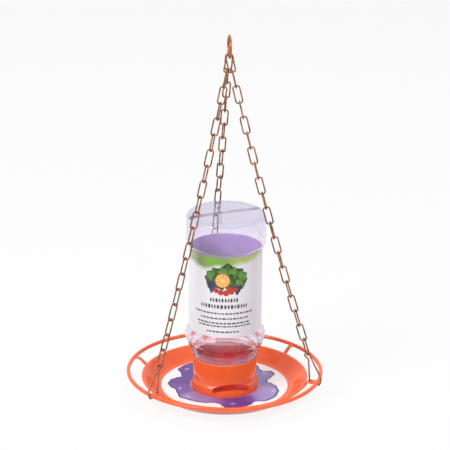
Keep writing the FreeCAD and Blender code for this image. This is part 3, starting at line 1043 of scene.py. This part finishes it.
def splash_outline(grow):
    """A pool of jelly round the collar, with soft lobes through marks of (azimuth, radius)."""
    marks = [(-180, 67), (-173, 65), (-163, 60), (-154, 61.5), (-143, 65), (-134, 62.5), (-125, 61),
             (-115, 59), (-102, 54.5), (-97, 56), (-88, 67), (-74, 71.5), (-64, 66), (-54, 60.5), (-43, 68),
             (-31, 69), (-18, 67), (-5, 62), (3, 56.5), (9, 51), (15, 53), (21, 60), (28, 68), (35, 69),
             (41, 61), (46, 61.5), (56, 69), (65, 71), (78, 69), (95, 62), (110, 68), (120, 73.5),
             (129, 73.5), (142, 71), (151, 59.5), (158, 55), (163, 60), (170, 65), (180, 67)]
    steps = 480
    points = []
    for k in range(steps):
        azimuth = k * (360 / steps) - 180
        for (one, low), (two, high) in zip(marks, marks[1:]):
            if one <= azimuth <= two:
                share = (azimuth - one) / (two - one)
                share = share * share * (3 - 2 * share)
                points.append(polar(0, 0, low + (high - low) * share + grow, math.radians(azimuth)))
                break
    return points


def ring_fill(outline):
    """Splits an outline round the card's hole into quads, one for each of its steps."""
    r = card_inner_r + 0.4
    quads = []
    for one, two in zip(outline, outline[1:] + outline[:1]):
        quads.append([polar(0, 0, r, math.atan2(one[1], one[0])), one, two,
                      polar(0, 0, r, math.atan2(two[1], two[0]))])
    return quads


def make_card_print():
    """A plain splash with a darker edge and a few pale marks."""
    edge = ink("splash_edge", (76, 54, 118), (92, 70, 134))
    shine = ink("splash_shine", (186, 172, 220), (200, 188, 230))
    print_on_card("print_splash_edge", ring_fill(splash_outline(0.0)), edge, 0.03)
    print_on_card("print_splash", ring_fill(splash_outline(-2.3)), splash_ink(), 0.06)
    shines = []
    steps = 24
    for azimuth, r, long_r, wide_r in ((-165, 54, 3.4, 1.4), (-138, 56, 4.0, 1.6), (-80, 57, 3.6, 1.3),
                                       (-18, 60, 4.2, 1.7), (34, 58, 3.6, 1.4), (137, 62, 3.8, 1.5),
                                       (102, 56, 3.2, 1.3)):
        out, side = radial(azimuth), radial(azimuth + 90)
        blob = []
        for k in range(steps):
            t = 2 * math.pi * k / steps
            at = out * (r + wide_r * math.sin(t)) + side * (long_r * math.cos(t))
            blob.append((at.x, at.y))
        shines.append(blob)
    print_on_card("print_splash_shine", shines, shine, 0.09)


# Stage, lights and camera

def make_stage():
    """A white floor that bends up into a wall, and glows for the rays that see it."""
    floor = bmesh.new()
    reach, rise, bend = 3.0, 2.6, 0.7
    profile = [(-reach, 0.0), (reach - bend, 0.0)]
    profile += [(reach - bend + bend * math.sin(math.radians(a)), bend - bend * math.cos(math.radians(a)))
                for a in range(6, 91, 6)]
    profile += [(reach, rise)]
    rows = [[floor.verts.new((x, y, z)) for x in (-4.0, 4.0)] for y, z in profile]
    for one, two in zip(rows, rows[1:]):
        floor.faces.new((one[0], one[1], two[1], two[0]))
    mesh = bpy.data.meshes.new("floor")
    floor.to_mesh(mesh)
    floor.free()
    mesh.shade_smooth()
    stage = bpy.data.objects.new("floor", mesh)
    bpy.context.scene.collection.objects.link(stage)
    s = Shader("floor")
    s.set(Base_Color=s.ramp(s.noise(3.0, 2.0), [(0.3, grey(0.84)), (0.7, grey(0.86))]),
          Roughness=0.9, Specular_IOR_Level=0.1)
    glow = s.add("ShaderNodeEmission")
    glow.inputs["Strength"].default_value = 1.0
    path = s.add("ShaderNodeLightPath")
    seen = s.math("MAXIMUM", path.outputs["Is Camera Ray"], path.outputs["Is Glossy Ray"])
    seen = s.math("MAXIMUM", seen, path.outputs["Is Transmission Ray"])
    glow_share = 0.86
    share = s.math("MULTIPLY", seen, glow_share)
    blend = s.add("ShaderNodeMixShader")
    s.link(share, blend.inputs["Fac"])
    s.link(s.bsdf.outputs["BSDF"], blend.inputs[1])
    s.link(glow.outputs["Emission"], blend.inputs[2])
    s.link(blend.outputs["Shader"], s.output.inputs["Surface"])
    mesh.materials.append(s.material)


def area_light(name, place, aim, size, power):
    """A lamp at a place, turned to its aim, with its power in watts."""
    data = bpy.data.lights.new(name, "AREA")
    data.shape = "RECTANGLE"
    data.size, data.size_y = size
    data.energy = power
    light = bpy.data.objects.new(name, data)
    bpy.context.scene.collection.objects.link(light)
    light.location = place
    light.rotation_mode = "QUATERNION"
    light.rotation_quaternion = (Vector(aim) - Vector(place)).to_track_quat("-Z", "Y")


def make_lights():
    """Three soft lamps, and a white world that is seen in full and lights things at half strength."""
    area_light("key", (-1.5, -1.3, 1.5), (0, 0, 0.15), (1.2, 1.2), 30)
    area_light("fill", (1.7, -1.0, 0.9), (0, 0, 0.15), (0.7, 1.5), 6)
    area_light("top", (0.1, 0.3, 2.1), (0, 0, 0.1), (1.6, 1.6), 16)
    world = bpy.data.worlds.new("studio")
    bpy.context.scene.world = world
    world.use_nodes = True
    tree = world.node_tree
    sky = tree.nodes["Background"]
    sky.inputs["Color"].default_value = (1, 1, 1, 1)
    path = tree.nodes.new("ShaderNodeLightPath")
    seen = path.outputs["Is Camera Ray"]
    for kind in ("Is Transmission Ray", "Is Glossy Ray"):
        either = tree.nodes.new("ShaderNodeMath")
        either.operation = "MAXIMUM"
        tree.links.new(seen, either.inputs[0])
        tree.links.new(path.outputs[kind], either.inputs[1])
        seen = either.outputs["Value"]
    strength = tree.nodes.new("ShaderNodeMapRange")
    strength.inputs["To Min"].default_value = 0.5
    strength.inputs["To Max"].default_value = 1.0
    tree.links.new(seen, strength.inputs["Value"])
    tree.links.new(strength.outputs["Result"], sky.inputs["Strength"])


def make_camera():
    e, roll = math.radians(camera_elevation), math.radians(camera_roll)
    level = Vector((1, 0, 0))
    upright = Vector((0, math.sin(e), math.cos(e)))
    forward = Vector((0, math.cos(e), -math.sin(e)))
    right = level * math.cos(roll) + upright * math.sin(roll)
    up = upright * math.cos(roll) - level * math.sin(roll)
    data = bpy.data.cameras.new("camera")
    data.sensor_width = 36.0
    data.lens = camera_lens
    data.clip_start, data.clip_end = 0.05, 50.0
    camera = bpy.data.objects.new("camera", data)
    bpy.context.scene.collection.objects.link(camera)
    place = Matrix((right, up, -forward)).transposed().to_4x4()
    place.translation = (Vector(camera_target) - forward * camera_distance) * MM
    camera.matrix_world = place
    bpy.context.scene.camera = camera


def main():
    warm_copper = copper_wire("copper_wire_warm", (140, 84, 58), (198, 128, 94))
    copper = copper_wire("copper_wire_chain", (116, 79, 56), (172, 123, 92))
    make_tray(orange_plastic("orange_plastic_tray", (247, 96, 35), (252, 103, 41)))
    make_collar(orange_plastic("orange_plastic_collar", (243, 105, 51), (249, 113, 58)), bore_painted_shade())
    make_card(printed_card())
    make_card_print()
    make_bottle(clear_plastic())
    make_sleeve(printed_sleeve(), sleeve_inside())
    make_sleeve_print()
    make_ring(warm_copper)
    for k, side in enumerate(("right", "back", "left")):
        make_chain("chain_" + side, copper)
        make_clip("clip_" + side, chain_azimuth + 120.0 * k, warm_copper)
    make_stage()
    make_lights()
    make_camera()
    bpy.context.scene.view_settings.view_transform = "Standard"


main()
